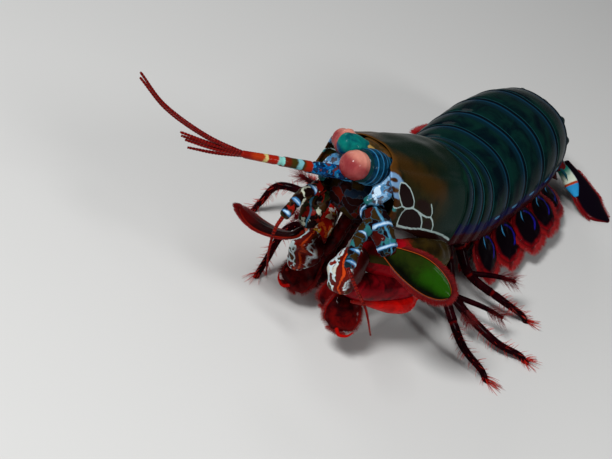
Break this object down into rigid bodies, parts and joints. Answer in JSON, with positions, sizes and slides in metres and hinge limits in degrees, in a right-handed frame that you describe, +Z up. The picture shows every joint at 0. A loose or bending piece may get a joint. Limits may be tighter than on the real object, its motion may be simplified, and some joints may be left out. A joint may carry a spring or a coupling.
{
  "type": "mantis shrimp",
  "caption": "Still, life-size mantis shrimp standing on its walking legs with the head raised, striking limbs folded under the carapace and the tail fan spread on the floor.",
  "frame": {"origin": "on the floor, below the middle of the whole model's bounding box", "axes": "+Z up, the head points to -Y and the tail to +Y, +X is the animal's left side"},
  "size_m": [0.0828, 0.1634, 0.0581],
  "materials": {
    "carapace": "gloss",
    "head": "gloss",
    "stalk": "gloss",
    "cornea": "gloss",
    "antennule": "gloss",
    "scale": "gloss",
    "whip": "satin",
    "merus": "gloss",
    "carpus": "gloss",
    "propodus": "gloss",
    "dactyl": "gloss",
    "maxilliped": "satin",
    "trunk": "satin",
    "somite": "gloss",
    "leg": "satin",
    "pleopod": "satin",
    "tail": "gloss"
  },
  "bodies": {
    "root": {"carapace": "carapace", "rostral_plate": "carapace", "head": "head", "thorax_5": "trunk", "thorax_6": "somite", "thorax_7": "somite", "thorax_8": "somite", "abdomen_1": "somite", "abdomen_2": "somite", "abdomen_3": "somite", "abdomen_4": "somite", "abdomen_5": "somite", "abdomen_6": "somite", "telson": "tail", "eyestalk_left": "stalk", "eye_left": "cornea", "antennule_left": "antennule", "antenna_base_left": "carpus", "antenna_scale_left": "scale", "antenna_flagellum_left": "whip", "raptorial_merus_left": "merus", "raptorial_carpus_left": "carpus", "raptorial_propodus_left": "propodus", "raptorial_dactyl_left": "dactyl", "maxilliped_3_left": "maxilliped", "maxilliped_4_left": "maxilliped", "maxilliped_5_left": "maxilliped", "leg_1_left": "leg", "leg_2_left": "leg", "leg_3_left": "leg", "pleopod_1_left": "pleopod", "pleopod_2_left": "pleopod", "pleopod_3_left": "pleopod", "pleopod_4_left": "pleopod", "pleopod_5_left": "pleopod", "uropod_left": "tail", "eyestalk_right": "stalk", "eye_right": "cornea", "antennule_right": "antennule", "antenna_base_right": "carpus", "antenna_scale_right": "scale", "antenna_flagellum_right": "whip", "raptorial_merus_right": "merus", "raptorial_carpus_right": "carpus", "raptorial_propodus_right": "propodus", "raptorial_dactyl_right": "dactyl", "maxilliped_3_right": "maxilliped", "maxilliped_4_right": "maxilliped", "maxilliped_5_right": "maxilliped", "leg_1_right": "leg", "leg_2_right": "leg", "leg_3_right": "leg", "pleopod_1_right": "pleopod", "pleopod_2_right": "pleopod", "pleopod_3_right": "pleopod", "pleopod_4_right": "pleopod", "pleopod_5_right": "pleopod", "uropod_right": "tail"}
  },
  "joints": []
}
